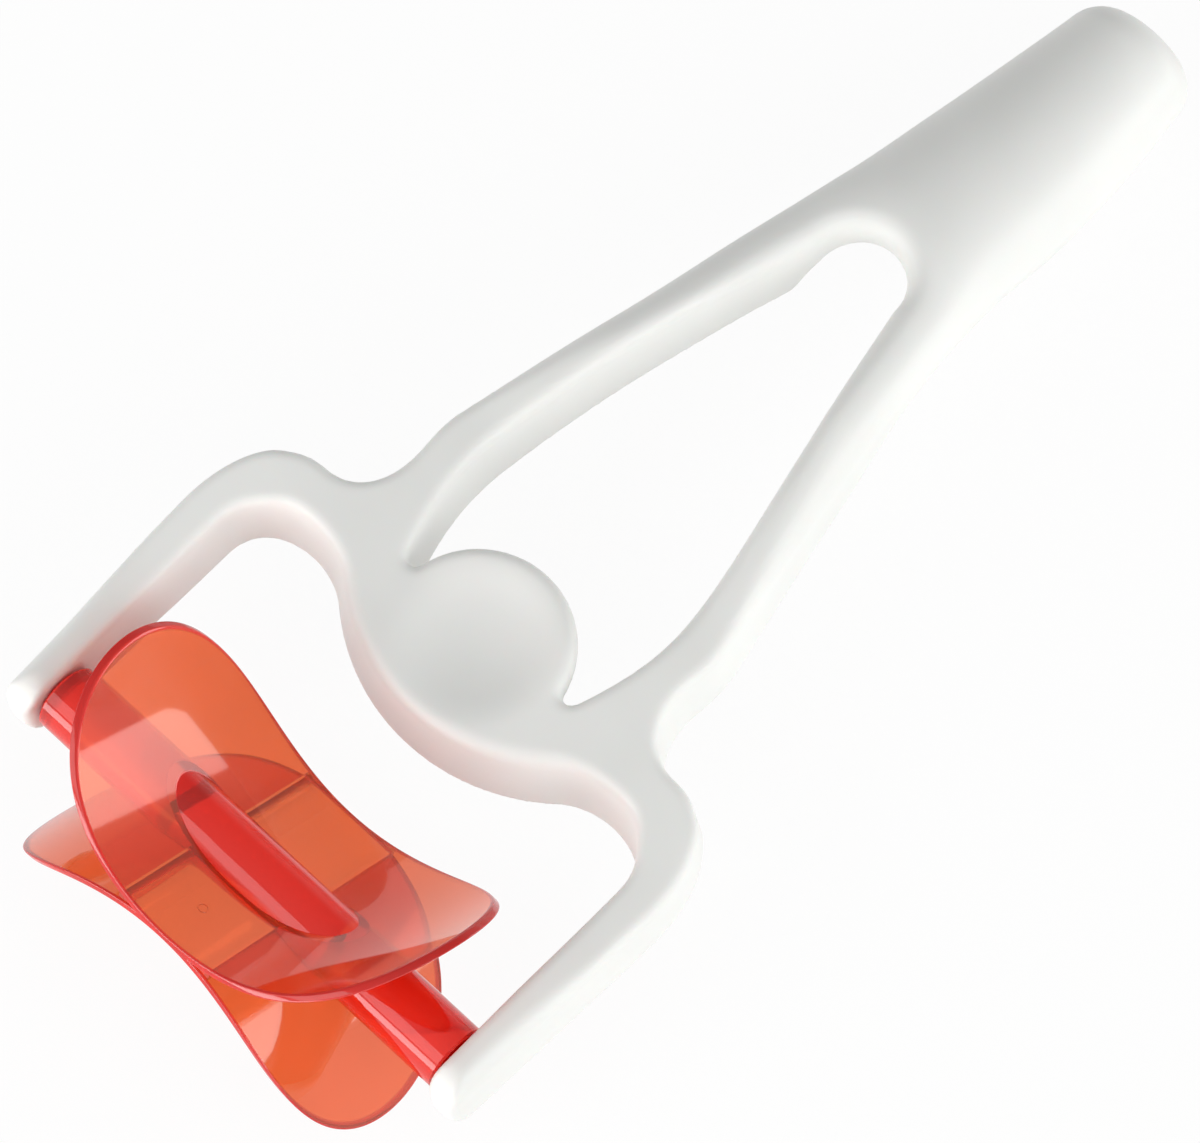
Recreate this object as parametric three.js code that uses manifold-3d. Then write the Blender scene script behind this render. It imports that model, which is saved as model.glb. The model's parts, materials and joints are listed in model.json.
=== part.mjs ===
// Dough cutting roller: a moulded frame with a handle, and a cutting roller that spins between its arms.
// Millimetres, +Z up. Built about the roller's axle, then set on the table it lies on.
import * as THREE from 'three';
import { mergeVertices } from 'three/addons/utils/BufferGeometryUtils.js';
import Module from 'manifold-3d';

const wasm = await Module();
wasm.setup();

// Cutting roller
const cutDiameter = 60;       // round of dough that one sheet cuts, measured around the roller
const cutLength = 63;         // the same round along the axle
const sheetThickness = 1.1;
const coreHalfLength = 8.5;   // sheets joined solid this far on each side of the waist
const axleDiameter = 10;
const journalDiameter = 6;    // stub at each end of the axle
const journalLength = 3.4;
const parkedSpin = 30.5;      // degrees the first sheet leans from upright towards the handle

// Running clearances
const endPlay = 0.4;          // axle shoulder to the arm's inner face
const journalClearance = 0.3; // radial, journal in its socket
const socketEndClearance = 0.3;

// Frame section: arms, web and legs are one depth with rounded edges
const frameDepth = 12;
const edgeRound = 1.6;

// Yoke: arms, arches and the nose of the web
const yokeGap = 76;           // between the arms' inner faces
const armTipReach = 6.5;      // arm past the axle
const armTipWidth = 5;
const armRootWidth = 6.3;
const armTipCorner = 2.3;
const webGap = 9;             // roller's rim to the nose of the web
const noseRadius = 32;
const noseHalfWidth = 20.8;
const archRootStart = 2.4;    // nose to where the arch leaves the arm
const archNoseHandle = 7;     // curve handles of the arch
const archArmHandle = 9;
const humpRise = 11.1;        // nose's shoulder to the crown of the hump
const humpHalfWidth = 33;
const humpArmHandle = 8.5;
const humpCrownHandle = 8;
const waistHalfWidth = 25.6;
const waistRise = 9.1;        // hump's crown to the narrowest place
const waistHandle = 5;

// Web with the thumb rest
const thumbSetback = 13.9;    // nose to the middle of the thumb rest
const thumbRadius = 13.8;
const thumbThickness = 4;     // the thumb rest is a tab, hollow below
const thumbEndAngle = 15;     // degrees, where the thumb rest's edge meets the crotch
const dishRadius = 10.2;
const dishDepth = 1.3;

// Legs and the finger opening between them
const kneeBulge = 0.6;        // widest place beyond the waist
const kneeRise = 4.5;
const legRise = 9;            // waist to the straight stretch
const legLength = 51;         // straight stretch, up to the neck
const neckHalfWidth = 15.4;
const crotchWidth = 2.2;      // beside the thumb rest
const crotchDepth = 1.5;
const openingFootRise = 15;   // crotch to the widest place of the opening
const openingFootBow = 0.5;   // outwards, halfway up that stretch
const kneeWall = 7.1;
const openingEndRadius = 7.2;
const openingEndPast = 2.4;   // centre of the round end beyond the neck

// Handle and the frame's middle line, in places past the neck
const legCrest = 1.2;
const handleDrop = 15.5;
const handleLength = 57.5;    // neck to the rim of the rounded end
const gripHalfWidth = 13.4;
const gripHalfDepth = 10;
const handleEndRound = 4;
const scoopRadius = 12;       // hollow under the round end of the opening
const handleStations = [
  { past: -0.07, halfWidth: 1.164, halfDepth: 0.56, squareness: 5 },
  { past: 0.07, halfWidth: 1.127, halfDepth: 0.72, squareness: 3.2 },
  { past: 0.209, halfWidth: 1.06, halfDepth: 0.88, squareness: 2.4 },
  { past: 0.504, halfWidth: 1, halfDepth: 1, squareness: 2 },
  { past: 0.817, halfWidth: 0.858, halfDepth: 0.98, squareness: 2 },
  { past: 1, halfWidth: 0.769, halfDepth: 0.9, squareness: 2 },
].map((share) => ({
  past: share.past * handleLength,
  halfWidth: share.halfWidth * gripHalfWidth,
  halfDepth: share.halfDepth * gripHalfDepth,
  squareness: share.squareness,
}));
const spineStations = [
  { past: -1.373 * legLength, height: 0 },
  { past: -0.98 * legLength, height: 0 },
  { past: -0.549 * legLength, height: legCrest },
  { past: -0.157 * legLength, height: 0.5 * legCrest },
  { past: 0.191 * handleLength, height: -0.22 * handleDrop },
  { past: 0.504 * handleLength, height: -0.65 * handleDrop },
  { past: 0.817 * handleLength, height: -0.93 * handleDrop },
  { past: 1.148 * handleLength, height: -handleDrop },
];

// Facets
const curveSteps = 8;
const sheetSteps = 44;
const coreSteps = 12;
const roundSides = 72;
const axleSides = 36;
const handleSides = 36;
const handleRings = 16;
const legRings = 10;
const dishSides = 36;
const dishRings = 5;

// Worked out from the sizes above, in places along the frame from the axle
const rollerRadius = cutDiameter / Math.PI;
const sheetReach = cutLength / 2;
const armInner = yokeGap / 2;
const axleHalf = armInner - endPlay;
const webFront = rollerRadius + webGap;
const noseCentre = webFront + noseRadius;
const shoulder = noseCentre - Math.sqrt(noseRadius ** 2 - noseHalfWidth ** 2);
const archRoot = webFront + archRootStart;
const humpCrown = shoulder + humpRise;
const waist = humpCrown + waistRise;
const thumbCentre = webFront + thumbSetback;
const legStart = waist + legRise;
const neck = legStart + legLength;
const openingEnd = neck + openingEndPast;
const thumbFoot = THREE.MathUtils.degToRad(thumbEndAngle);
const crotchX = thumbRadius * Math.cos(thumbFoot);
const crotchY = thumbCentre + thumbRadius * Math.sin(thumbFoot);
const openingWide = new THREE.Vector2(waistHalfWidth + kneeBulge - kneeWall, crotchY + openingFootRise);
const openingFar = new THREE.Vector2(openingEndRadius, openingEnd);

const frameMaterial = new THREE.MeshStandardMaterial({ color: 0xe9eae6, roughness: 0.42, metalness: 0 });
const rollerMaterial = new THREE.MeshStandardMaterial({
  color: 0xe2482c,
  roughness: 0.12,
  metalness: 0,
  transparent: true,
  opacity: 0.75,
});

// A closed geometry as a solid that can be joined and cut
function solid(geometry) {
  const bare = geometry.clone();
  for (const name of Object.keys(bare.attributes)) {
    if (name !== 'position') bare.deleteAttribute(name);
  }
  const merged = mergeVertices(bare, 1e-4);
  return new wasm.Manifold(new wasm.Mesh({
    numProp: 3,
    vertProperties: new Float32Array(merged.attributes.position.array),
    triVerts: new Uint32Array(merged.index.array),
  }));
}

function namedMesh(name, body, material) {
  const data = body.getMesh();
  const geometry = new THREE.BufferGeometry();
  geometry.setAttribute('position', new THREE.BufferAttribute(new Float32Array(data.vertProperties), 3));
  geometry.setIndex(new THREE.BufferAttribute(new Uint32Array(data.triVerts), 1));
  geometry.computeVertexNormals();
  const mesh = new THREE.Mesh(geometry, material);
  mesh.name = name;
  return mesh;
}

// A round bar along X from one place to another
function barAlongX(radius, from, to, sides) {
  const bar = new THREE.CylinderGeometry(radius, radius, to - from, sides);
  bar.rotateZ(Math.PI / 2);
  bar.translate((from + to) / 2, 0, 0);
  return solid(bar);
}

function interpolant(stations, keys) {
  const along = stations.map((station) => neck + station.past);
  const values = stations.flatMap((station) => keys.map((key) => station[key]));
  return new THREE.CubicInterpolant(along, values, keys.length);
}

const spine = interpolant(spineStations, ['height']);
const spineHeight = (along) => spine.evaluate(along)[0];

// Straight edges of a leg, outside and along the finger opening
function legOuter(along) {
  return THREE.MathUtils.mapLinear(along, legStart, neck, waistHalfWidth, neckHalfWidth);
}

function legInner(along) {
  return THREE.MathUtils.mapLinear(along, openingWide.y, openingFar.y, openingWide.x, openingFar.x);
}

// Half an outline and its mirror image as one closed ring of points
function mirrored(half) {
  const right = half.getPoints(curveSteps);
  const left = right.slice(1, -1).map((point) => new THREE.Vector2(-point.x, point.y));
  return [...right, ...left.reverse()];
}

// Arms, arches, web and thumb rest in plan, with the stubs that the legs grow from
function yokeOutline() {
  const armOuter = armInner + armRootWidth;
  const tip = armInner + armTipWidth;
  const half = new THREE.Path();
  half.moveTo(0, webFront);
  half.absarc(0, noseCentre, noseRadius, -Math.PI / 2, -Math.acos(noseHalfWidth / noseRadius), false);
  const tangent = new THREE.Vector2(noseCentre - shoulder, noseHalfWidth).setLength(archNoseHandle);
  half.bezierCurveTo(
    noseHalfWidth + tangent.x, shoulder + tangent.y,
    armInner, archRoot + archArmHandle,
    armInner, archRoot,
  );
  half.lineTo(armInner, armTipCorner - armTipReach);
  half.quadraticCurveTo(armInner, -armTipReach, armInner + armTipWidth / 2, -armTipReach);
  half.quadraticCurveTo(tip, -armTipReach, tip, armTipCorner - armTipReach);
  half.lineTo(armOuter, archRoot);
  half.bezierCurveTo(
    armOuter, archRoot + humpArmHandle,
    humpHalfWidth + humpCrownHandle, humpCrown,
    humpHalfWidth, humpCrown,
  );
  half.bezierCurveTo(
    humpHalfWidth - waistHandle, humpCrown,
    waistHalfWidth, waist - waistHandle,
    waistHalfWidth, waist,
  );
  const stubEnd = legStart + edgeRound;
  half.splineThru([
    new THREE.Vector2(waistHalfWidth + kneeBulge, waist + kneeRise),
    new THREE.Vector2(legOuter(legStart), legStart),
  ]);
  half.lineTo(legOuter(stubEnd), stubEnd);
  half.lineTo(legInner(stubEnd), stubEnd);
  half.lineTo(openingWide.x, openingWide.y);
  half.splineThru([
    new THREE.Vector2(
      (crotchX + crotchWidth + openingWide.x) / 2 + openingFootBow,
      (crotchY + openingWide.y) / 2,
    ),
    new THREE.Vector2(crotchX + crotchWidth, crotchY + crotchDepth * 0.2),
  ]);
  half.bezierCurveTo(
    crotchX + crotchWidth * 0.75, crotchY - crotchDepth,
    crotchX + crotchWidth * 0.15, crotchY - crotchDepth,
    crotchX, crotchY,
  );
  half.absarc(0, thumbCentre, thumbRadius, thumbFoot, Math.PI / 2, false);
  return mirrored(half);
}

function yokeSolid() {
  const plate = new THREE.ExtrudeGeometry(new THREE.Shape(yokeOutline()), {
    depth: frameDepth - 2 * edgeRound,
    bevelThickness: edgeRound,
    bevelSize: edgeRound,
    bevelOffset: -edgeRound,
    bevelSegments: 2,
  });
  plate.translate(0, 0, edgeRound - frameDepth / 2);
  return solid(plate);
}

// Rings of points joined into one skin, closed by a flat cap at each end
function loft(rings) {
  const sides = rings[0].length;
  const faces = [];
  for (let r = 0; r + 1 < rings.length; r += 1) {
    for (let i = 0; i < sides; i += 1) {
      const a = r * sides + i;
      const b = r * sides + ((i + 1) % sides);
      faces.push(a, a + sides, b, b, a + sides, b + sides);
    }
  }
  const last = (rings.length - 1) * sides;
  for (let i = 1; i + 1 < sides; i += 1) {
    faces.push(0, i, i + 1, last, last + i + 1, last + i);
  }
  const geometry = new THREE.BufferGeometry().setFromPoints(rings.flat());
  geometry.setIndex(faces);
  return solid(geometry);
}

// A section with rounded corners across one leg, standing on the spine
function legRing(side, along, inset) {
  const centre = (side * (legOuter(along) + legInner(along))) / 2;
  const halfWidth = (legOuter(along) - legInner(along)) / 2 - inset;
  const halfDepth = frameDepth / 2 - inset;
  const corners = [[1, 1, 0], [-1, 1, 90], [-1, -1, 180], [1, -1, 270]];
  return corners.flatMap(([sideX, sideZ, start]) => [0, 45, 90].map((step) => {
    const turn = THREE.MathUtils.degToRad(start + step);
    return new THREE.Vector3(
      centre + sideX * (halfWidth - edgeRound) + edgeRound * Math.cos(turn),
      along,
      spineHeight(along) + sideZ * (halfDepth - edgeRound) + edgeRound * Math.sin(turn),
    );
  }));
}

// One leg: its foot is buried in the yoke's stub and its head in the root of the handle
function legSolid(side) {
  const foot = legStart - 3 * edgeRound;
  const head = openingEnd + openingEndRadius / 2;
  const rings = [legRing(side, foot, edgeRound / 4)];
  for (let i = 0; i <= legRings; i += 1) {
    rings.push(legRing(side, THREE.MathUtils.lerp(legStart, openingEnd, i / legRings), 0));
  }
  rings.push(legRing(side, head, edgeRound));
  return loft(rings);
}

function handleStationList() {
  const size = interpolant(handleStations, ['halfWidth', 'halfDepth', 'squareness']);
  const start = neck + handleStations[0].past;
  const stop = neck + handleStations[handleStations.length - 1].past;
  const list = [];
  for (let i = 0; i <= handleRings; i += 1) {
    const along = THREE.MathUtils.lerp(start, stop, i / handleRings);
    const [halfWidth, halfDepth, squareness] = size.evaluate(along);
    list.push({ along, halfWidth, halfDepth, squareness, height: spineHeight(along) });
  }
  const rim = list[list.length - 1];
  for (const turn of [30, 60, 90].map(THREE.MathUtils.degToRad)) {
    const along = rim.along + handleEndRound * Math.sin(turn);
    const inset = handleEndRound * (1 - Math.cos(turn));
    list.push({
      along,
      halfWidth: rim.halfWidth - inset,
      halfDepth: rim.halfDepth - inset,
      squareness: rim.squareness,
      height: spineHeight(along),
    });
  }
  return list;
}

// Sections of the handle are ellipses, squared up towards the legs
function handleSolid(stations) {
  const squared = (value, power) => Math.sign(value) * Math.abs(value) ** power;
  return loft(stations.map((station) => Array.from({ length: handleSides }, (_, i) => {
    const turn = (2 * Math.PI * i) / handleSides;
    const power = 2 / station.squareness;
    return new THREE.Vector3(
      station.halfWidth * squared(Math.cos(turn), power),
      station.along,
      station.height + station.halfDepth * squared(Math.sin(turn), power),
    );
  })));
}

// The round end of the finger opening, cut right through the root of the handle
function openingEndSolid() {
  const from = neck + handleStations[0].past - edgeRound;
  const half = new THREE.Path();
  half.moveTo(0, from);
  half.lineTo(legInner(from), from);
  half.lineTo(openingFar.x, openingFar.y);
  half.absarc(0, openingEnd, openingEndRadius, 0, Math.PI / 2, false);
  const cut = new THREE.ExtrudeGeometry(new THREE.Shape(mirrored(half)), {
    depth: 4 * frameDepth,
    bevelEnabled: false,
  });
  cut.translate(0, 0, -2 * frameDepth);
  return solid(cut);
}

// A ball that hollows the underside of the handle's root, as wide as the opening at the legs' underside
function scoopSolid() {
  const ball = new THREE.SphereGeometry(scoopRadius, axleSides, axleSides / 2);
  const below = frameDepth / 2 + Math.sqrt(scoopRadius ** 2 - openingEndRadius ** 2);
  ball.translate(0, openingEnd, -below);
  return solid(ball);
}

// The space below the thumb rest, back to the web and clear of the legs
function underThumbSolid() {
  const from = crotchY + edgeRound / 2;
  const to = thumbCentre + thumbRadius + edgeRound;
  const width = 2 * (thumbRadius + crotchWidth / 2);
  const space = new THREE.BoxGeometry(width, to - from, frameDepth);
  space.translate(0, (from + to) / 2, -thumbThickness);
  return solid(space);
}

function dishSolid() {
  const radius = (dishRadius ** 2 + dishDepth ** 2) / (2 * dishDepth);
  const edge = Math.asin(dishRadius / radius) * 1.3;
  const profile = [];
  for (let i = 0; i <= dishRings; i += 1) {
    const turn = (edge * i) / dishRings;
    profile.push(new THREE.Vector2(radius * Math.sin(turn), radius * (1 - Math.cos(turn))));
  }
  profile.push(new THREE.Vector2(0, profile[dishRings].y));
  const dish = new THREE.LatheGeometry(profile, dishSides);
  dish.rotateX(Math.PI / 2);
  dish.translate(0, thumbCentre, frameDepth / 2 - dishDepth);
  return solid(dish);
}

function frameSolid(stations) {
  const handle = handleSolid(stations).subtract(openingEndSolid()).subtract(scoopSolid());
  const frame = yokeSolid()
    .add(legSolid(1))
    .add(legSolid(-1))
    .add(handle)
    .subtract(underThumbSolid())
    .subtract(dishSolid());

  const socketRadius = journalDiameter / 2 + journalClearance;
  const socketEnd = axleHalf + journalLength + socketEndClearance;
  const socketMouth = armInner - edgeRound;
  return frame
    .subtract(barAlongX(socketRadius, socketMouth, socketEnd, axleSides))
    .subtract(barAlongX(socketRadius, -socketEnd, -socketMouth, axleSides));
}

// Height of a sheet's middle surface: rolled out on dough, its rim lands on a round
function sheetHeight(x) {
  const reach = Math.abs(x) / sheetReach;
  const rimSlope = (rollerRadius * Math.PI ** 2) / (4 * sheetReach);
  if (reach > 1) return rollerRadius + rimSlope * (Math.abs(x) - sheetReach);
  return rollerRadius * Math.cos((Math.PI / 2) * Math.sqrt(1 - reach ** 2));
}

// A profile in X and height swept straight across the roller, then trimmed to the rolling circle
function sweptAcross(profile) {
  const margin = 2 * sheetThickness;
  const width = 2 * (rollerRadius + margin);
  const reach = sheetReach + 2 * margin;
  const swept = new THREE.ExtrudeGeometry(new THREE.Shape(profile), { depth: width, bevelEnabled: false });
  swept.translate(0, 0, -width / 2);
  swept.rotateX(Math.PI / 2);
  return solid(swept).intersect(barAlongX(rollerRadius, -reach, reach, roundSides));
}

// One cutting sheet, the same thickness along its curved profile
function sheetSolid(side) {
  const reach = sheetReach + 2 * sheetThickness;
  const step = 0.01;
  const lower = [];
  const upper = [];
  for (let i = 0; i <= sheetSteps; i += 1) {
    const x = THREE.MathUtils.lerp(-reach, reach, i / sheetSteps);
    const height = sheetHeight(x);
    const slope = (sheetHeight(x + step) - sheetHeight(x - step)) / (2 * step);
    const normal = new THREE.Vector2(-slope, 1).setLength(sheetThickness / 2);
    lower.push(new THREE.Vector2(x - normal.x, side * (height - normal.y)));
    upper.push(new THREE.Vector2(x + normal.x, side * (height + normal.y)));
  }
  return sweptAcross([...lower, ...upper.reverse()]);
}

// The filled wedges between the two sheets beside the waist
function coreSolid() {
  const upper = [];
  for (let i = 0; i <= coreSteps; i += 1) {
    const x = THREE.MathUtils.lerp(-coreHalfLength, coreHalfLength, i / coreSteps);
    upper.push(new THREE.Vector2(x, sheetHeight(x) + sheetThickness / 4));
  }
  const lower = upper.map((point) => new THREE.Vector2(point.x, -point.y));
  return sweptAcross([...lower, ...upper.reverse()]);
}

function rollerSolid() {
  const journalEnd = axleHalf + journalLength;
  return sheetSolid(1)
    .add(sheetSolid(-1))
    .add(coreSolid())
    .add(barAlongX(axleDiameter / 2, -axleHalf, axleHalf, axleSides))
    .add(barAlongX(journalDiameter / 2, -journalEnd, journalEnd, axleSides));
}

// Tilt about the axle that brings the handle's underside down to the table that the roller stands on
function restingTilt(stations) {
  return Math.max(...stations.map((station) => {
    const low = station.height - station.halfDepth;
    return Math.asin(-rollerRadius / Math.hypot(station.along, low)) - Math.atan2(low, station.along);
  }));
}

const stations = handleStationList();
const frame = namedMesh('frame', frameSolid(stations), frameMaterial);
frame.rotation.x = restingTilt(stations);

const roller = namedMesh('cutting_roller', rollerSolid(), rollerMaterial);
roller.rotation.x = -THREE.MathUtils.degToRad(parkedSpin);

const tool = new THREE.Group();
tool.add(frame, roller);

// The origin is on the table, under the middle of the tool's length
const extent = new THREE.Box3().setFromObject(tool, true);
const middle = extent.getCenter(new THREE.Vector3());
tool.position.set(-middle.x, -middle.y, -extent.min.z);
tool.updateMatrixWorld(true);

export default tool;
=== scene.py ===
import json
from math import acos, atan2, cos, degrees, pi, radians, sin, sqrt

import bmesh
import bpy
import numpy as np
from mathutils import Matrix, Vector


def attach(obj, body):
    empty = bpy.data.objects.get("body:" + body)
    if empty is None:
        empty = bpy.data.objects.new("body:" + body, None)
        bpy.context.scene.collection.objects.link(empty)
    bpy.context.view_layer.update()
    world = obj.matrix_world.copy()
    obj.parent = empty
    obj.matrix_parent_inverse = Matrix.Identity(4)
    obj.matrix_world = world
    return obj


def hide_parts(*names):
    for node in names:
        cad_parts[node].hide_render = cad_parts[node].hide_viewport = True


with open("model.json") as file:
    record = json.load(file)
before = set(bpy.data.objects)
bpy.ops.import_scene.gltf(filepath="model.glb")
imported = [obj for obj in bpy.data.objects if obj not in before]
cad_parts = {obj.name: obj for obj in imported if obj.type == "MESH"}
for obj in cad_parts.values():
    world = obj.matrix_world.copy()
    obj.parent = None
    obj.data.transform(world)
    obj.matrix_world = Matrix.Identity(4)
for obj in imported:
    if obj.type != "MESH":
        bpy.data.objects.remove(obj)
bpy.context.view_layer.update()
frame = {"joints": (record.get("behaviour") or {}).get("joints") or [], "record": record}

mm = 0.001

# where the axle lies and how far the frame leans on it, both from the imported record
axle = np.array(frame["joints"][0]["pos_m"]) / mm
webNormal = frame["record"]["mounts"][0]["axis"]
lean = atan2(webNormal[1], -webNormal[2])
print("axle at", axle.round(2), "frame leans", round(degrees(lean), 2))


# points about the axle in mm, turned about it and set on the table in metres
def onTable(points, turn):
    x, y, z = points.T
    turned = np.c_[x, cos(turn) * y - sin(turn) * z, sin(turn) * y + cos(turn) * z]
    return (turned + axle) * mm


# a mesh from arrays of points and faces, as an object at the origin
def meshObject(name, points, faces):
    mesh = bpy.data.meshes.new(name)
    mesh.from_pydata(points.tolist(), [], faces.tolist())
    mesh.validate()
    piece = bpy.data.objects.new(name, mesh)
    bpy.context.scene.collection.objects.link(piece)
    return piece


# merges doubled points, so that poles and seams close
def weld(mesh, reach):
    work = bmesh.new()
    work.from_mesh(mesh)
    bmesh.ops.remove_doubles(work, verts=work.verts, dist=reach)
    bmesh.ops.recalc_face_normals(work, faces=work.faces)
    work.to_mesh(mesh)
    work.free()


# smooth faces, with edges left sharp where two faces turn by more than that many degrees
def shadeSmooth(mesh, sharpAngle):
    mesh.polygons.foreach_set("use_smooth", np.ones(len(mesh.polygons), bool))
    mesh.set_sharp_from_angle(angle=radians(sharpAngle))
    mesh.update()


# curves in plan: part of a circle, a cubic with two handles, and a corner with one handle
def arc(centre, radius, start, stop, steps=28):
    turn = np.linspace(start, stop, steps)
    return np.c_[centre[0] + radius * np.cos(turn), centre[1] + radius * np.sin(turn)]


def cubic(a, b, c, d, steps=28):
    t = np.linspace(0, 1, steps)[:, None]
    a, b, c, d = map(np.array, (a, b, c, d))
    return (1 - t) ** 3 * a + 3 * (1 - t) ** 2 * t * b + 3 * (1 - t) * t**2 * c + t**3 * d


def corner(a, b, c, steps=12):
    t = np.linspace(0, 1, steps)[:, None]
    a, b, c = map(np.array, (a, b, c))
    return (1 - t) ** 2 * a + 2 * (1 - t) * t * b + t**2 * c


# value at each place: cubic pieces whose slope at a station is that of its two neighbours
def smoothThrough(place, stations, values):
    stations, values = np.array(stations, float), np.array(values, float)
    slope = np.gradient(values, stations)
    place = np.clip(place, stations[0], stations[-1])
    i = np.clip(np.searchsorted(stations, place) - 1, 0, len(stations) - 2)
    span = stations[i + 1] - stations[i]
    t = (place - stations[i]) / span
    low, high = values[i], values[i + 1]
    rise = high - low
    a = slope[i] * span - rise
    b = rise - slope[i + 1] * span
    return low + t * rise + t * (1 - t) * ((1 - t) * a + t * b)


# rises from 0 to 1 between two values, level at both ends
def fade(value, low, high):
    t = np.clip((value - low) / (high - low), 0, 1)
    return t * t * (3 - 2 * t)


# distance in plan to the right half of an edge, negative inside it (odd number of crossings to the right)
def planDistance(x, y, edge):
    px, py = (v.ravel()[:, None].astype(np.float32) for v in np.meshgrid(x, y, indexing="ij"))
    ax, ay = edge[:-1].T.astype(np.float32)
    bx, by = edge[1:].T.astype(np.float32)
    ex, ey = bx - ax, by - ay
    t = np.clip(((px - ax) * ex + (py - ay) * ey) / np.maximum(ex**2 + ey**2, 1e-9), 0, 1)
    gap = np.sqrt(((px - ax - t * ex) ** 2 + (py - ay - t * ey) ** 2).min(1))
    crossed = ((ay > py) != (by > py)) & (px < (py - ay) / np.where(ey == 0, 1, ey) * ex + ax)
    return np.where(crossed.sum(1) % 2 == 1, -gap, gap).reshape(len(x), len(y), 1)


# two walls that meet along an edge with a round: the larger distance inside the walls, and outside them the
# distance from the line one radius in from both, less that radius
def roundedMeet(a, b, radius):
    a, b = a + radius, b + radius
    return np.minimum(np.maximum(a, b), 0) + np.hypot(np.maximum(a, 0), np.maximum(b, 0)) - radius


# takes b out of a: the larger of a and minus b, eased by a parabola where the two are within that size
def softCut(a, b, size):
    h = np.clip(0.5 - 0.5 * (a + b) / size, 0, 1)
    return a * (1 - h) - b * h + size * h * (1 - h)


# value of a lattice at places between its points, weighted by nearness to the eight around
def sampled(lattice, places):
    cell = np.clip(np.floor(places).astype(int), 0, np.array(lattice.shape) - 2)
    share = places - cell
    total = np.zeros(len(places), np.float32)
    for i, j, k in np.ndindex(2, 2, 2):
        weight = np.abs(np.array([1 - i, 1 - j, 1 - k]) - share).prod(1)
        total += weight * lattice[cell[:, 0] + i, cell[:, 1] + j, cell[:, 2] + k]
    return total


# skin of a moulding: one point in each lattice cell that the zero of the distance passes through, at the
# mean of its crossings, then moved along the gradient onto the zero; one quad for each crossed lattice edge
def skinOf(distance, low, step):
    shape = np.array(distance.shape) - 1
    total = np.zeros((*shape, 3), np.float32)
    count = np.zeros(shape, np.float32)
    turns = [(0, 1, 2), (1, 2, 0), (2, 0, 1)]
    for a, b, c in turns:
        field = distance.transpose(a, b, c)
        near, far = field[:-1], field[1:]
        cross = (near < 0) != (far < 0)
        share = np.where(cross, near / np.where(cross, near - far, 1), 0)
        place = [np.arange(n, dtype=np.float32) for n in near.shape]
        where = {a: place[0][:, None, None] + share, b: place[1][None, :, None], c: place[2][None, None, :]}
        counts, totals = count.transpose(a, b, c), total.transpose(a, b, c, 3)
        for j, k in np.ndindex(2, 2):
            part = (slice(None), slice(j, j + shape[b]), slice(k, k + shape[c]))
            counts += cross[part]
            for axis, spot in where.items():
                totals[..., axis] += np.where(cross, spot, 0)[part]
    used = count > 0
    points = total[used] / count[used][:, None]
    number = np.full(shape, -1)
    number[used] = np.arange(len(points))
    quads = []
    for a, b, c in turns:
        field, cell = distance.transpose(a, b, c), number.transpose(a, b, c)
        near, far = field[:-1, 1:-1, 1:-1], field[1:, 1:-1, 1:-1]
        cross = (near < 0) != (far < 0)
        ring = [cell[:, :-1, :-1], cell[:, 1:, :-1], cell[:, 1:, 1:], cell[:, :-1, 1:]]
        quad = np.stack([r[cross] for r in ring], 1)
        quads.append(np.where((near < 0)[cross][:, None], quad, quad[:, ::-1]))
    slopes = np.gradient(distance)
    for _ in range(4):
        gradient = np.stack([sampled(s, points) for s in slopes], 1)
        off = sampled(distance, points) / np.maximum((gradient**2).sum(1), 0.05)
        points = points - np.clip(off, -1, 1)[:, None] * gradient
    return points * step + np.array(low), np.concatenate(quads)


# sizes in mm about the axle: x along it, y towards the handle's end, z up
roller = dict(cut=60, length=62, sheet=1.1, rimRound=0.3, core=8.5, axle=10, journal=6, journalLength=3.4,
              chamfer=0.3, endPlay=0.4, spin=30.5, acrossSteps=30, alongSteps=200, roundSteps=96, lineSteps=3000,
              coreSteps=41)
yoke = dict(gap=76, tipReach=6.5, tipWidth=5, rootWidth=6.3, tipCorner=2.3, webGap=9, noseRadius=32,
            noseHalf=20.8, archStart=2.4, archNoseHandle=7, archArmHandle=9, humpRise=11.1, humpHalf=33,
            humpArmHandle=8.5, humpCrownHandle=8, waistHalf=25.6, waistRise=9.1, waistHandle=5,
            depth=12, draft=0.055, draftStart=8, frontStart=12, frontDraft=0.18, frontPivot=3, frontRound=2,
            topRound=1.25, underRound=1, armRound=3, armRoundFrom=2, armRoundTo=24, tipRound=5.5)
thumbRest = dict(setback=13.9, radius=13.8, thickness=3.4, endAngle=15, edgeRound=1.8, edgeRun=2, inset=0.15,
                 lip=0.7, lipRun=10, dishRadius=10.2, dishDepth=1.8, dishSoftness=0.8, underPast=1.3,
                 underFront=0.6, underReach=17, underSoftness=1.2)
legs = dict(kneeBulge=0.6, kneeRise=4.5, rise=9, length=51, crotchWidth=2.6, crotchDepth=1.5, footRise=15.4,
            kneeWall=7.4, footHandle=10, farHandle=18, endRadius=7.1, endPast=0.8, crest=1.2,
            footRound=1.2, innerRound=1.8, outerRound=5)
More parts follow.
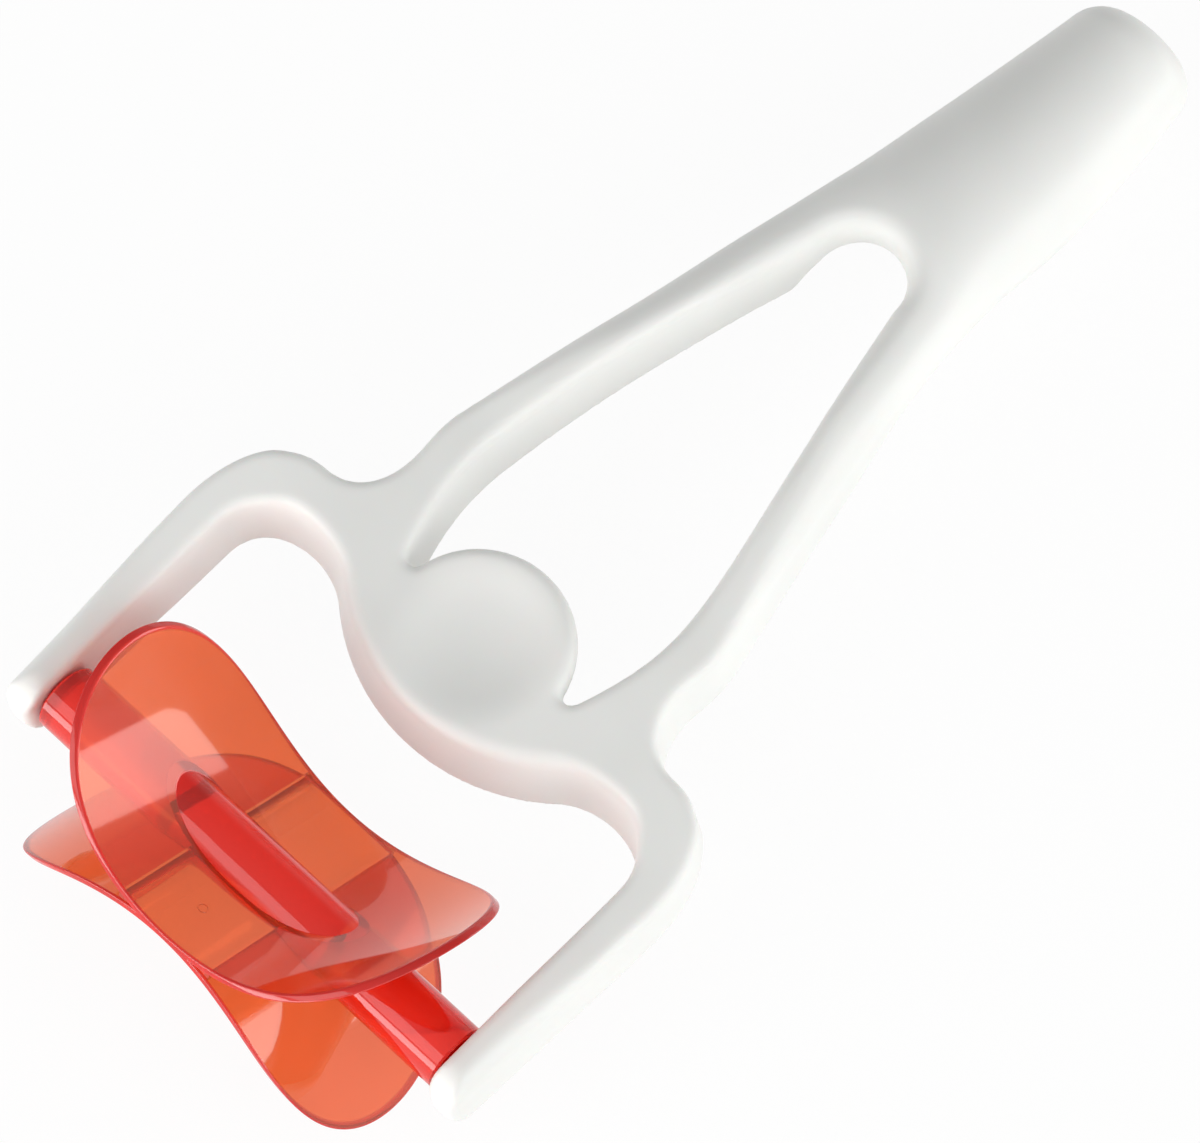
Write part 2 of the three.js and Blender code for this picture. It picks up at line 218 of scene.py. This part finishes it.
handle = dict(drop=15.5, endPast=61.4, endRound=5, innerRound=3.4, blendFrom=-24, blendTo=8,
              scoop=12, scoopPast=4, scoopBelow=14, scoopSoftness=2.5,
              spinePast=[-70, -50, -28, -8, 11, 29, 47, 66], spineFall=[0.02, 0.31, 0.72, 0.95, 1],
              past=[-24, -12, 4, 12, 29, 47, 57.5, 70],
              halfWidth=[19.9, 17.5, 15.0, 14.25, 13.5, 11.7, 10.3, 8.8],
              halfDepth=[6.0, 6.0, 7.2, 8.8, 10.0, 9.5, 8.7, 7.8],
              squareness=[6, 5, 3.2, 2.4, 2, 2, 2, 2])
socket = dict(clearance=0.3, endClearance=0.3)
skin = dict(step=0.55, low=(0, -9.9, -28.6), high=(46.2, 181, 12.1))

rollerRadius = roller["cut"] / pi
armInner = yoke["gap"] / 2
axleHalf = armInner - roller["endPlay"]
webFront = rollerRadius + yoke["webGap"]
noseCentre = webFront + yoke["noseRadius"]
shoulder = noseCentre - sqrt(yoke["noseRadius"] ** 2 - yoke["noseHalf"] ** 2)
archRoot = webFront + yoke["archStart"]
humpCrown = shoulder + yoke["humpRise"]
waist = humpCrown + yoke["waistRise"]
thumbCentre = webFront + thumbRest["setback"]
thumbFoot = radians(thumbRest["endAngle"])
crotch = thumbRest["radius"] * cos(thumbFoot), thumbCentre + thumbRest["radius"] * sin(thumbFoot)
legStart = waist + legs["rise"]
neck = legStart + legs["length"]
openingEnd = neck + legs["endPast"]
handlePast = neck + np.array(handle["past"])


# right half of the outside edge in plan: nose, arch, arm, hump, waist, knee, leg and handle
def outerEdge():
    y, s = yoke, yoke["noseHalf"]
    tangent = np.array([noseCentre - shoulder, s]) / y["noseRadius"] * y["archNoseHandle"]
    tipY, outer, tip = -y["tipReach"], armInner + y["rootWidth"], armInner + y["tipWidth"]
    knee = y["waistHalf"] + legs["kneeBulge"]
    along = np.linspace(handlePast[0], handlePast[-1], 60)
    return np.concatenate([
        arc((0, noseCentre), y["noseRadius"], -pi / 2, -acos(s / y["noseRadius"])),
        cubic((s, shoulder), (s + tangent[0], shoulder + tangent[1]),
              (armInner, archRoot + y["archArmHandle"]), (armInner, archRoot))[1:],
        corner((armInner, tipY + y["tipCorner"]), (armInner, tipY), (armInner + y["tipWidth"] / 2, tipY)),
        corner((armInner + y["tipWidth"] / 2, tipY), (tip, tipY), (tip, tipY + y["tipCorner"]))[1:],
        cubic((outer, archRoot), (outer, archRoot + y["humpArmHandle"]),
              (y["humpHalf"] + y["humpCrownHandle"], humpCrown), (y["humpHalf"], humpCrown)),
        cubic((y["humpHalf"], humpCrown), (y["humpHalf"] - y["waistHandle"], humpCrown),
              (y["waistHalf"], waist - y["waistHandle"]), (y["waistHalf"], waist))[1:],
        cubic((y["waistHalf"], waist), (y["waistHalf"], waist + 3), (knee + 0.2, waist + legs["kneeRise"]),
              (y["waistHalf"], legStart))[1:],
        np.c_[smoothThrough(along, handlePast, handle["halfWidth"]), along],
        [[0, handlePast[-1]]],
    ])


# right half of the finger opening's edge: round the thumb rest, into the crotch, up the leg, round the far end
def openingEdge():
    x, y = crotch
    w, d = legs["crotchWidth"], legs["crotchDepth"]
    wide = (yoke["waistHalf"] + legs["kneeBulge"] - legs["kneeWall"], y + legs["footRise"])
    far = (legs["endRadius"], openingEnd)
    return np.concatenate([
        arc((0, thumbCentre), thumbRest["radius"], pi / 2, thumbFoot),
        cubic((x, y), (x + 0.15 * w, y - d), (x + 0.75 * w, y - d), (x + w, y + 0.2 * d), 12)[1:],
        cubic((x + w, y + 0.2 * d), (x + w + 1.6, y + 5), (wide[0], wide[1] - 6), wide)[1:],
        cubic(wide, (wide[0], wide[1] + legs["footHandle"]),
              (far[0] + 0.23 * legs["farHandle"], far[1] - legs["farHandle"]), far)[1:],
        arc((0, openingEnd), legs["endRadius"], 0, pi / 2)[1:],
    ])


# distance to the moulded frame: a plate with rounded edges on a curved spine, which changes into a handle of
# squared ellipses, less the finger opening, the space below the thumb rest and its dish, the hollow under
# the opening's far end, and the journals' sockets
def frameDistance(x, y, z):
    spineRise = [0, 0, legs["crest"]] + [-share * handle["drop"] for share in handle["spineFall"]]
    spine = smoothThrough(y, neck + np.array(handle["spinePast"]), spineRise)
    outer, opening = planDistance(x, y, outerEdge()), planDistance(x, y, openingEdge())
    x, y, z = x[:, None, None], y[None, :, None], z[None, None, :]
    height = z - spine[None, :, None]
    fromThumb = np.hypot(x, y - thumbCentre)
    onThumb = 1 - fade(fromThumb, thumbRest["radius"], thumbRest["radius"] + thumbRest["edgeRun"])
    lip = thumbRest["lip"] * onThumb * fade(y, thumbCentre, thumbCentre + thumbRest["lipRun"])

    # the plate: how far a place belongs to the web's front wall, then edge rounds, wall draft and the plate itself
    front = fade(y, yoke["frontStart"], webFront) * (1 - fade(y, shoulder + 1, shoulder + 9))
    front = front * (1 - fade(x, armInner - 7, armInner - 1))
    edge = yoke["topRound"] + (yoke["frontRound"] - yoke["topRound"]) * front
    edge = edge + (legs["outerRound"] - edge) * fade(y, legStart - 6, neck - 16)
    onArm = fade(x, armInner + 1.5, armInner + 4) * (1 - fade(y, yoke["armRoundFrom"], yoke["armRoundTo"]))
    edge = edge + (yoke["armRound"] - edge) * onArm
    edge = np.where(height > 0, edge, yoke["underRound"])
    drafted = outer + yoke["frontDraft"] * (height + yoke["depth"] / 2 - yoke["frontPivot"]) * front
    share = fade(y, neck + handle["blendFrom"], neck + handle["blendTo"])
    draft = yoke["draft"] * height * fade(y, yoke["draftStart"], webFront) * (1 - share)
    drafted = drafted + draft * (1 - front) * (1 - fade(x, armInner, armInner + 3))
    plate = roundedMeet(drafted, np.maximum(height - lip, -height) - yoke["depth"] / 2, edge)

    # the grip: distance to a squared ellipse, by its value over its slope, and the plate's change into it
    a, b, n = (smoothThrough(y, handlePast, handle[k]) for k in ("halfWidth", "halfDepth", "squareness"))
    across, up = np.maximum(x / a, 1e-4), np.maximum(np.abs(height) / b, 1e-4)
    size = (across**n + up**n) ** (1 / n)
    steep = np.hypot((across / size) ** (n - 1) / a, (up / size) ** (n - 1) / b)
    grip = (size - 1) / steep
    body = roundedMeet(plate + (grip - plate) * share, y - neck - handle["endPast"], handle["endRound"])
    tip = roundedMeet(-y - yoke["tipReach"], np.abs(height) - yoke["depth"] / 2, yoke["tipRound"])
    body = np.where(y < 0, np.maximum(body, tip), body)

    # the finger opening, and the hollow under its far end
    above = fade(y, crotch[1] + 4, legStart + 8)
    inner = legs["footRound"] + (legs["innerRound"] - legs["footRound"]) * above
    inner = inner + (handle["innerRound"] - inner) * fade(y, neck - 20, neck)
    inner = inner + (thumbRest["edgeRound"] - inner) * onThumb
    wall = draft * (1 - onThumb) - thumbRest["inset"] * onThumb - opening
    body = roundedMeet(body, wall, np.where(height > 0, inner, yoke["underRound"]))
    fromScoop = np.sqrt(x**2 + (y - neck - handle["scoopPast"]) ** 2 + (z + handle["scoopBelow"]) ** 2)
    body = softCut(body, fromScoop - handle["scoop"], handle["scoopSoftness"])

    # the thumb rest: the space below its tab, and its dish
    below = np.maximum(x - thumbRest["radius"] - thumbRest["underPast"], crotch[1] - thumbRest["underFront"] - y)
    under = np.maximum(z - yoke["depth"] / 2 + thumbRest["thickness"], fromThumb - thumbRest["underReach"])
    body = softCut(body, np.maximum(below, under), thumbRest["underSoftness"])
    dishBall = (thumbRest["dishRadius"] ** 2 + thumbRest["dishDepth"] ** 2) / (2 * thumbRest["dishDepth"])
    rise = yoke["depth"] / 2 - thumbRest["dishDepth"] + dishBall
    dish = np.sqrt(fromThumb**2 + (z - rise) ** 2) - dishBall
    body = softCut(body, dish, thumbRest["dishSoftness"])

    deep = axleHalf + roller["journalLength"] + socket["endClearance"]
    hole = np.maximum(np.hypot(y, z) - roller["journal"] / 2 - socket["clearance"], x - deep)
    return np.maximum(body, -hole)


step = skin["step"]
x, y, z = (np.arange(lo, hi, step) for lo, hi in zip(skin["low"], skin["high"]))
half = frameDistance(x, y, z).astype(np.float32)
whole = np.concatenate([half[:0:-1], half])  # the other side is its mirror image
points, quads = skinOf(whole, (-x[-1], y[0], z[0]), step)
frameSkin = meshObject("frame_moulding", onTable(points, lean), quads)
shadeSmooth(frameSkin.data, 60)
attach(frameSkin, "frame_body")
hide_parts("frame")
print("frame moulding:", len(quads), "quads")


# sheet's middle line: rolled out on dough, the rim lands on a round, so the height at x is
# R cos(pi/2 sqrt(1 - x2/A2)) for half a length A along the axle, and runs straight on past the tip
def sheetLine(x):
    reach = roller["length"] / 2
    q = np.clip(1 - (x / reach) ** 2, 1e-12, 1)
    turn = pi / 2 * np.sqrt(q)
    slope = rollerRadius * pi / 2 * np.sin(turn) / np.sqrt(q) * x / reach**2
    past = np.maximum(np.abs(x) - reach, 0)
    tipSlope = rollerRadius * pi**2 / (4 * reach)
    return rollerRadius * np.cos(turn) + tipSlope * past, np.where(past > 0, tipSlope, slope)


# one strand along a sheet: the middle line moved sideways by an offset, cut off where it leaves a circle
# of the given radius, and set at a share of the width left inside that circle
def sheetStrand(offset, radius, share, turn):
    x = np.linspace(0, roller["length"] / 2 + 4, roller["lineSteps"])
    height, slope = sheetLine(x)
    run = np.sqrt(1 + slope**2)
    px, pz = x - offset * slope / run, height + offset / run
    spot = np.abs(np.interp(radius, pz, x) * np.cos(turn))
    sx, sz = np.interp(spot, x, px) * np.sign(np.cos(turn)), np.interp(spot, x, pz)
    return np.c_[sx, share * np.sqrt(np.maximum(radius**2 - sz**2, 0)), sz]


# strands of one sheet in order round it: upper face, rounded rim, lower face, rounded rim
def sheetGrid():
    t, e = roller["sheet"] / 2, roller["rimRound"]
    turn = np.linspace(0, pi, roller["alongSteps"] + 1)
    across = np.sin(np.linspace(-pi / 2, pi / 2, roller["acrossSteps"] + 1))
    bend = np.radians(np.arange(15, 91, 15))
    over = [(t - e * (1 - cos(g)), rollerRadius - e * (1 - sin(g))) for g in bend]
    strands = [(t, rollerRadius - e, s) for s in across]
    strands += [(o, r, 1) for o, r in over] + [(-o, r, 1) for o, r in over[::-1]]
    strands += [(-t, rollerRadius - e, s) for s in across[::-1]]
    strands += [(-o, r, -1) for o, r in over] + [(o, r, -1) for o, r in over[::-1]]
    return np.stack([sheetStrand(o, r, s, turn) for o, r, s in strands], 1)


# filled wedges between the sheets beside the waist: rectangles from rim to rim, as high as the sheets' own
# profile and a little more, closed by a point at each end
def coreGrid():
    x = np.linspace(-roller["core"], roller["core"], roller["coreSteps"])
    height = sheetLine(x)[0] + roller["sheet"] / 4
    width = np.sqrt((rollerRadius - roller["rimRound"]) ** 2 - height**2)
    corners = [(-1, -1), (1, -1), (1, 1), (-1, 1)]
    rings = np.stack([np.c_[x, across * width, up * height] for across, up in corners], 1)
    ends = np.zeros((2, 1, 4, 3))
    ends[:, ..., 0] = np.reshape([-roller["core"], roller["core"]], (2, 1, 1))
    return np.concatenate([ends[0], rings, ends[1]])


# the axle is a profile of radius and place carried round the axis
def axleGrid():
    r, j, c = roller["axle"] / 2, roller["journal"] / 2, roller["chamfer"]
    end = axleHalf + roller["journalLength"]
    side = [(0, end), (j - c, end), (j, end - c), (j, axleHalf), (r - c, axleHalf), (r, axleHalf - c)]
    profile = np.array(side + [(r, 0)] + [(p, -q) for p, q in side[::-1]])
    turn = np.linspace(0, 2 * pi, roller["roundSteps"], endpoint=False)
    radius, place = profile[:, :1], profile[:, 1:]
    return np.stack([place + 0 * turn, radius * np.cos(turn), radius * np.sin(turn)], -1)


# mark of an ejector pin: a low ring, half sunk in the trough's face
ejectorMark = dict(across=-11.2, radius=0.7, ridge=0.08, roundSteps=49, ridgeSteps=12)


# the ring is a small circle carried round a larger one
def markGrid():
    turn = np.linspace(0, 2 * pi, ejectorMark["roundSteps"])
    bend = np.linspace(0, 2 * pi, ejectorMark["ridgeSteps"], endpoint=False)
    radius = ejectorMark["radius"] + ejectorMark["ridge"] * np.cos(bend)
    height = roller["sheet"] / 2 + ejectorMark["ridge"] * np.sin(bend)
    return np.stack([np.cos(turn)[:, None] * radius, ejectorMark["across"] + np.sin(turn)[:, None] * radius,
                     height + 0 * turn[:, None]], -1)


# quads between neighbours of a grid whose second direction closes on itself
def gridQuads(rows, columns):
    i, j = np.meshgrid(np.arange(rows - 1), np.arange(columns), indexing="ij")
    i, j, k = i.ravel(), j.ravel(), (j.ravel() + 1) % columns
    return np.c_[i * columns + j, i * columns + k, (i + 1) * columns + k, (i + 1) * columns + j]


# one closed shell of the roller, turned about the axle to the place where it lies
def closedPiece(name, grid):
    piece = meshObject(name, onTable(grid.reshape(-1, 3), -radians(roller["spin"])), gridQuads(*grid.shape[:2]))
    weld(piece.data, 1e-6)
    return piece


sheet = sheetGrid()
rollerSkin = closedPiece("cutting_roller_moulding", sheet)
others = [closedPiece("second_sheet", sheet * [1, -1, -1]), closedPiece("core", coreGrid()),
          closedPiece("axle", axleGrid()), closedPiece("mark", markGrid())]
for other in others:
    join = rollerSkin.modifiers.new("join", "BOOLEAN")
    join.operation, join.solver, join.object = "UNION", "MANIFOLD", other
joined = bpy.data.meshes.new_from_object(rollerSkin.evaluated_get(bpy.context.evaluated_depsgraph_get()))
rollerSkin.modifiers.clear()
rollerSkin.data = joined
for other in others:
    bpy.data.objects.remove(other)
shadeSmooth(joined, 18)
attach(rollerSkin, "roller_body")
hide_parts("cutting_roller")
print("cutting roller:", len(joined.polygons), "faces")


# sRGB hex to linear colour
def colour(hexValue):
    srgb = np.array([int(hexValue[i:i + 2], 16) for i in (0, 2, 4)]) / 255
    return (*np.where(srgb <= 0.04045, srgb / 12.92, ((srgb + 0.055) / 1.055) ** 2.4), 1.0)


# adds a node with its settings, its unlinked values and its links
def addNode(tree, kind, values=None, links=None, **settings):
    node = tree.nodes.new(kind)
    for name, value in settings.items():
        setattr(node, name, value)
    for name, value in (values or {}).items():
        node.inputs[name].default_value = value
    for name, output in (links or {}).items():
        tree.links.new(output, node.inputs[name])
    return node


def newMaterial(name):
    material = bpy.data.materials.new(name)
    material.use_nodes = True
    material.node_tree.nodes.clear()
    return material, material.node_tree


def rampStops(ramp, stops):
    while len(ramp.elements) < len(stops):
        ramp.elements.new(0.5)
    for element, (place, value) in zip(ramp.elements, stops):
        element.position = place
        element.color = value


# white polypropylene, injection moulded in a lightly blasted tool: soft broad highlights and a faint grain
whitePlastic = dict(dark="E7E8E5", light="EDEEEB", cloud=28, grain=0.7, grainDepth=0.04, roughLow=0.36,
                    roughHigh=0.46)


def satinPolypropylene():
    material, tree = newMaterial("satin_moulded_polypropylene")
    p = whitePlastic
    place = addNode(tree, "ShaderNodeTexCoord").outputs["Object"]
    cloud = addNode(tree, "ShaderNodeTexNoise", {"Scale": 1 / (p["cloud"] * mm), "Detail": 2}, {"Vector": place})
    tone = addNode(tree, "ShaderNodeValToRGB", links={"Fac": cloud.outputs["Fac"]})
    rampStops(tone.color_ramp, [(0.35, colour(p["dark"])), (0.65, colour(p["light"]))])
    rough = addNode(tree, "ShaderNodeMapRange",
                    {"From Min": 0.3, "From Max": 0.7, "To Min": p["roughLow"], "To Max": p["roughHigh"]},
                    {"Value": cloud.outputs["Fac"]})
    # the real grain is about 0.1 mm and wouldn't show, so it is drawn coarser
    grain = addNode(tree, "ShaderNodeTexNoise", {"Scale": 1 / (p["grain"] * mm), "Detail": 3}, {"Vector": place})
    bump = addNode(tree, "ShaderNodeBump", {"Strength": 0.12, "Distance": p["grainDepth"] * mm},
                   {"Height": grain.outputs["Fac"]})
    shader = addNode(tree, "ShaderNodeBsdfPrincipled",
                     {"IOR": 1.49, "Subsurface Weight": 0.08, "Subsurface Scale": 0.002},
                     {"Base Color": tone.outputs["Color"], "Roughness": rough.outputs["Result"],
                      "Normal": bump.outputs["Normal"]})
    addNode(tree, "ShaderNodeOutputMaterial", links={"Surface": shader.outputs["BSDF"]})
    return material


# clear polystyrene tinted orange red, moulded in a polished tool: thin walls pass orange light, while the thick
# axle and the rims, which gather light from the sheets, glow a denser red; that glow is painted, as a deeper red
# base colour with less light let through
redPlastic = dict(wall="FA723E", axle="FF3020", rim="EE2A22", cloud=16, wallClear=0.8, axleClear=0.6, rimClear=0.4,
                  rampReach=20)


def polishedTintedPolystyrene():
    material, tree = newMaterial("polished_tinted_polystyrene")
    p = redPlastic
    place = addNode(tree, "ShaderNodeTexCoord").outputs["Object"]
    about = addNode(tree, "ShaderNodeMapping", {"Location": (0, -axle[1] * mm, -axle[2] * mm), "Scale": (0, 1, 1)},
                    {"Vector": place})
    radius = addNode(tree, "ShaderNodeVectorMath", links={0: about.outputs["Vector"]}, operation="LENGTH")
    reach = addNode(tree, "ShaderNodeMapRange", {"From Max": p["rampReach"] * mm},
                    {"Value": radius.outputs["Value"]})
    axleEdge = roller["axle"] / 2 / p["rampReach"]
    rimEdge = (rollerRadius - roller["rimRound"]) / p["rampReach"]
    places = [axleEdge + 0.003, axleEdge + 0.008, rimEdge - 0.008, rimEdge + 0.002]
    # painted glow: the base colour runs from the walls' orange to a deeper, glowing red over the axle and the
    # rims, by distance from the axle's line
    tintAndPaintedGlow = addNode(tree, "ShaderNodeValToRGB", links={"Fac": reach.outputs["Result"]})
    rampStops(tintAndPaintedGlow.color_ramp, list(zip(places, [colour(p[k]) for k in ("axle", "wall", "wall", "rim")])))
    # painted glow, continued: less light is let through over the axle and the rims than over the walls
    clear = addNode(tree, "ShaderNodeValToRGB", links={"Fac": reach.outputs["Result"]})
    shares = [p["axleClear"], p["wallClear"], p["wallClear"], p["rimClear"]]
    rampStops(clear.color_ramp, [(at, (share, share, share, 1)) for at, share in zip(places, shares)])
    cloud = addNode(tree, "ShaderNodeTexNoise", {"Scale": 1 / (p["cloud"] * mm), "Detail": 2}, {"Vector": place})
    shade = addNode(tree, "ShaderNodeMapRange", {"From Min": 0.3, "From Max": 0.7, "To Min": 0.94, "To Max": 1.0},
                    {"Value": cloud.outputs["Fac"]})
    toned = addNode(tree, "ShaderNodeVectorMath",
                    links={"Vector": tintAndPaintedGlow.outputs["Color"], "Scale": shade.outputs["Result"]}, operation="SCALE")
    shader = addNode(tree, "ShaderNodeBsdfPrincipled", {"IOR": 1.59, "Roughness": 0.05},
                     {"Base Color": toned.outputs["Vector"], "Transmission Weight": clear.outputs["Color"]})
    addNode(tree, "ShaderNodeOutputMaterial", links={"Surface": shader.outputs["BSDF"]})
    return material


frameSkin.data.materials.append(satinPolypropylene())
joined.materials.clear()
joined.materials.append(polishedTintedPolystyrene())

# plain pale floor: white to the camera, in reflections and through the red plastic, with a faint shadow left in it
studio = dict(floorHalf=3.0, floorDrop=0.0003, floorWhite="FBFBFA", whiteShare=0.92)


# 1 for a ray from the camera, off a shiny face or through the red plastic
def backgroundRay(tree):
    path = addNode(tree, "ShaderNodeLightPath")
    seen = addNode(tree, "ShaderNodeMath",
                   links={0: path.outputs["Is Camera Ray"], 1: path.outputs["Is Glossy Ray"]}, operation="MAXIMUM")
    return addNode(tree, "ShaderNodeMath", links={0: seen.outputs[0], 1: path.outputs["Is Transmission Ray"]},
                   operation="MAXIMUM").outputs[0]


def paperFloor():
    material, tree = newMaterial("white_paper_sweep")
    paper = addNode(tree, "ShaderNodeBsdfDiffuse", {"Color": colour(studio["floorWhite"])})
    white = addNode(tree, "ShaderNodeEmission", {"Color": (1, 1, 1, 1), "Strength": 1})
    share = addNode(tree, "ShaderNodeMath", {1: studio["whiteShare"]}, {0: backgroundRay(tree)},
                    operation="MULTIPLY")
    mix = addNode(tree, "ShaderNodeMixShader",
                  links={0: share.outputs[0], 1: paper.outputs[0], 2: white.outputs[0]})
    addNode(tree, "ShaderNodeOutputMaterial", links={"Surface": mix.outputs[0]})
    return material


reach = studio["floorHalf"]
corners = np.array([[-reach, -reach, 0], [reach, -reach, 0], [reach, reach, 0], [-reach, reach, 0]])
floor = meshObject("floor", corners - [0, 0, studio["floorDrop"]], np.array([[0, 1, 2, 3]]))
floor.data.materials.append(paperFloor())

# light tent: bright low down, brighter towards the right and the front, dim overhead
tent = dict(low=1.2, high=0.62, lowTo=0.12, highFrom=0.5, bright=(0.8, -0.6, 0), dimSide=0.42, brightSide=1.26)


def lightTent():
    world = bpy.data.worlds.new("light_tent")
    world.use_nodes = True
    tree = world.node_tree
    tree.nodes.clear()
    toward = addNode(tree, "ShaderNodeTexCoord").outputs["Generated"]
    height = addNode(tree, "ShaderNodeSeparateXYZ", links={"Vector": toward})
    level = addNode(tree, "ShaderNodeMapRange",
                    {"From Min": tent["lowTo"], "From Max": tent["highFrom"],
                     "To Min": tent["low"], "To Max": tent["high"]},
                    {"Value": height.outputs["Z"]}, interpolation_type="SMOOTHSTEP")
    side = addNode(tree, "ShaderNodeVectorMath", {1: tent["bright"]}, {0: toward}, operation="DOT_PRODUCT")
    share = addNode(tree, "ShaderNodeMapRange",
                    {"From Min": -0.9, "From Max": 0.9, "To Min": tent["dimSide"], "To Max": tent["brightSide"]},
                    {"Value": side.outputs["Value"]})
    strength = addNode(tree, "ShaderNodeMath", links={0: level.outputs["Result"], 1: share.outputs["Result"]},
                       operation="MULTIPLY")
    cloth = addNode(tree, "ShaderNodeBackground", {"Color": (1, 1, 1, 1)}, {"Strength": strength.outputs[0]})
    white = addNode(tree, "ShaderNodeBackground", {"Color": (1, 1, 1, 1), "Strength": 1})
    camera = addNode(tree, "ShaderNodeLightPath").outputs["Is Camera Ray"]
    mix = addNode(tree, "ShaderNodeMixShader", links={0: camera, 1: cloth.outputs[0], 2: white.outputs[0]})
    addNode(tree, "ShaderNodeOutputWorld", links={"Surface": mix.outputs[0]})
    return world


bpy.context.scene.world = lightTent()

# soft boxes: direction from the tool, distance, width and height in metres, and power in watts
softBoxes = {
    "front": dict(toward=(-0.29, -0.72, 0.63), distance=0.75, size=(0.5, 0.4), power=1.0),
    "right": dict(toward=(0.85, 0.05, 0.5), distance=0.8, size=(0.5, 0.5), power=1.4),
    "low": dict(toward=(0.56, 0.81, 0.17), distance=0.45, size=(0.34, 0.14), power=0.4),
    "frontLow": dict(toward=(-0.3, -0.94, 0.16), distance=0.42, size=(0.44, 0.13), power=0.75),
}
aim = Vector((0, -0.02, 0.015))
for name, box in softBoxes.items():
    light = bpy.data.lights.new(name, "AREA")
    light.shape, light.size, light.size_y, light.energy = "RECTANGLE", *box["size"], box["power"]
    lamp = bpy.data.objects.new(name, light)
    toward = Vector(box["toward"]).normalized()
    lamp.location = aim + toward * box["distance"]
    lamp.rotation_euler = toward.to_track_quat("Z", "Y").to_euler()
    bpy.context.scene.collection.objects.link(lamp)

print("floor, tent and", len(softBoxes), "soft boxes")

# camera fitted to the photograph: its direction from the axle, the axle's place off its middle line, and its reach
shot = dict(azimuth=-39.48, elevation=67.57, roll=-6.79, right=45.79, up=40.62, distance=777.13, lens=174.1,
            sensor=36)
az, el, roll = (radians(shot[k]) for k in ("azimuth", "elevation", "roll"))
back = Vector((cos(el) * cos(az), cos(el) * sin(az), sin(el)))
level = Vector((-sin(az), cos(az), 0))
over = back.cross(level)
right, up = cos(roll) * level + sin(roll) * over, cos(roll) * over - sin(roll) * level
spot = (Vector(axle) + right * shot["right"] + up * shot["up"] + back * shot["distance"]) * mm
lens = bpy.data.cameras.new("shot")
lens.lens, lens.sensor_width, lens.clip_start, lens.clip_end = shot["lens"], shot["sensor"], 0.01, 20
eye = bpy.data.objects.new("shot", lens)
eye.matrix_world = Matrix.Translation(spot) @ Matrix((right, up, back)).transposed().to_4x4()
bpy.context.scene.collection.objects.link(eye)
bpy.context.scene.camera = eye
bpy.context.scene.view_settings.view_transform = "Standard"
